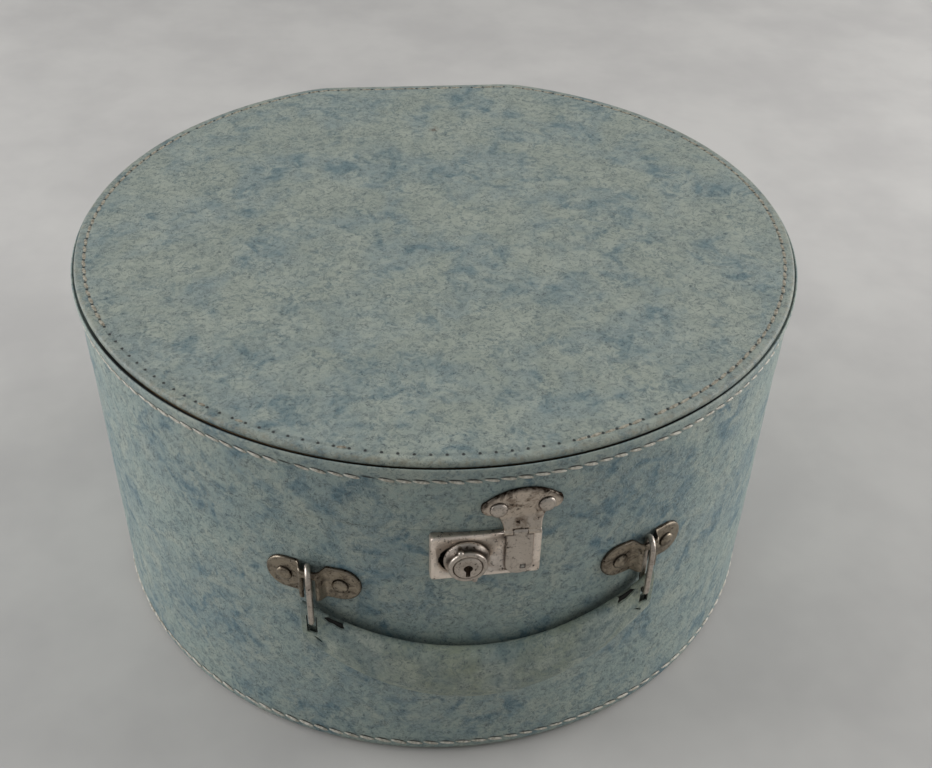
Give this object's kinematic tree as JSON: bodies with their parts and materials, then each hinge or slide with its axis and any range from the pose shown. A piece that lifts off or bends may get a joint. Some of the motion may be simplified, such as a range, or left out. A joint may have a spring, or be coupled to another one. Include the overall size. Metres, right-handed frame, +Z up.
{
  "type": "hat box",
  "caption": "Round hat box with a flat back, leatherette-covered board walls, hinged lid, sliding-barrel hasp lock and a padded handle hung on wire links.",
  "frame": {"origin": "on the underside of the base, at the centre of the drum's round wall", "axes": "+Z up towards the lid; -Y towards the lock and the handle; +Y towards the back, whose flat with its hinges is turned 2.4 degrees from it, clockwise as seen from above; +X to the right as seen from the lock's side"},
  "size_m": [0.3503, 0.3523, 0.1866],
  "materials": {
    "leatherette": "pale blue-green mottled leatherette, fine fibrous grain, matte to satin",
    "handle_leatherette": "the same leatherette, worn and yellowed by the hand",
    "board": "raw pressed board",
    "fibre": "tan vulcanised fibre",
    "lining": "plain cream lining cloth",
    "nickel": "worn nickel plate on steel, brown tarnish and small pits",
    "steel": "bare steel"
  },
  "bodies": {
    "body": {"body_cover": "leatherette", "body_board": "board", "base_cover": "leatherette", "base_board": "board", "base_corner_strip": "fibre", "body_lining": "lining", "base_lining": "lining", "body_collar": "lining", "hinge_body_leaf_left": "nickel", "hinge_body_leaf_right": "nickel", "hinge_pin_left": "steel", "hinge_pin_right": "steel", "hinge_rivet_body_1": "nickel", "hinge_rivet_body_2": "nickel", "hinge_rivet_body_3": "nickel", "hinge_rivet_body_4": "nickel", "lock_plate": "nickel", "lock_case": "steel", "latch_spring": "steel", "handle_bracket_left": "nickel", "handle_bracket_right": "nickel", "bracket_rivet_1": "nickel", "bracket_rivet_2": "nickel", "bracket_rivet_3": "nickel", "bracket_rivet_4": "nickel"},
    "lid": {"lid_rim_cover": "leatherette", "lid_rim_board": "board", "lid_top_cover": "leatherette", "lid_top_board": "board", "lid_corner_strip": "fibre", "lid_rim_lining": "lining", "lid_top_lining": "lining", "hinge_lid_leaf_left": "nickel", "hinge_lid_leaf_right": "nickel", "hinge_rivet_lid_1": "nickel", "hinge_rivet_lid_2": "nickel", "hinge_rivet_lid_3": "nickel", "hinge_rivet_lid_4": "nickel", "hasp_plate": "nickel", "hasp_pin": "steel", "hasp_rivet_left": "nickel", "hasp_rivet_right": "nickel"},
    "tongue": {"hasp_tongue": "nickel", "hasp_hook": "steel"},
    "latch": {"latch_barrel": "nickel", "latch_slider": "steel"},
    "key": {"key_cylinder": "nickel", "lock_cam": "steel"},
    "handle": {"handle_cover": "handle_leatherette", "handle_core": "fibre", "handle_link_left": "nickel", "handle_link_right": "nickel"}
  },
  "joints": [
    {"name": "lid_hinge", "type": "hinge", "parent": "body", "child": "lid", "pos_m": [0.0068, 0.1622, 0.15], "axis": [-0.9991, 0.0419, 0], "range_deg": [0, 105]},
    {"name": "tongue_hinge", "type": "hinge", "parent": "lid", "child": "tongue", "pos_m": [0.0124, -0.1772, 0.1507], "axis": [-1, 0, 0], "range_deg": [0, 140]},
    {"name": "latch_slide", "type": "slide", "parent": "body", "child": "latch", "axis": [-1, 0, 0], "range_m": [0, 0.004], "stiffness_N_per_m": 300, "springref_m": -0.004},
    {"name": "key_turn", "type": "hinge", "parent": "latch", "child": "key", "pos_m": [-0.0091, -0.1762, 0.1368], "axis": [0, 1, 0], "range_deg": [0, 90]},
    {"name": "handle_swing", "type": "hinge", "parent": "body", "child": "handle", "pos_m": [0, -0.16269, 0.1195], "axis": [-1, 0, 0], "range_deg": [0, 110]}
  ]
}
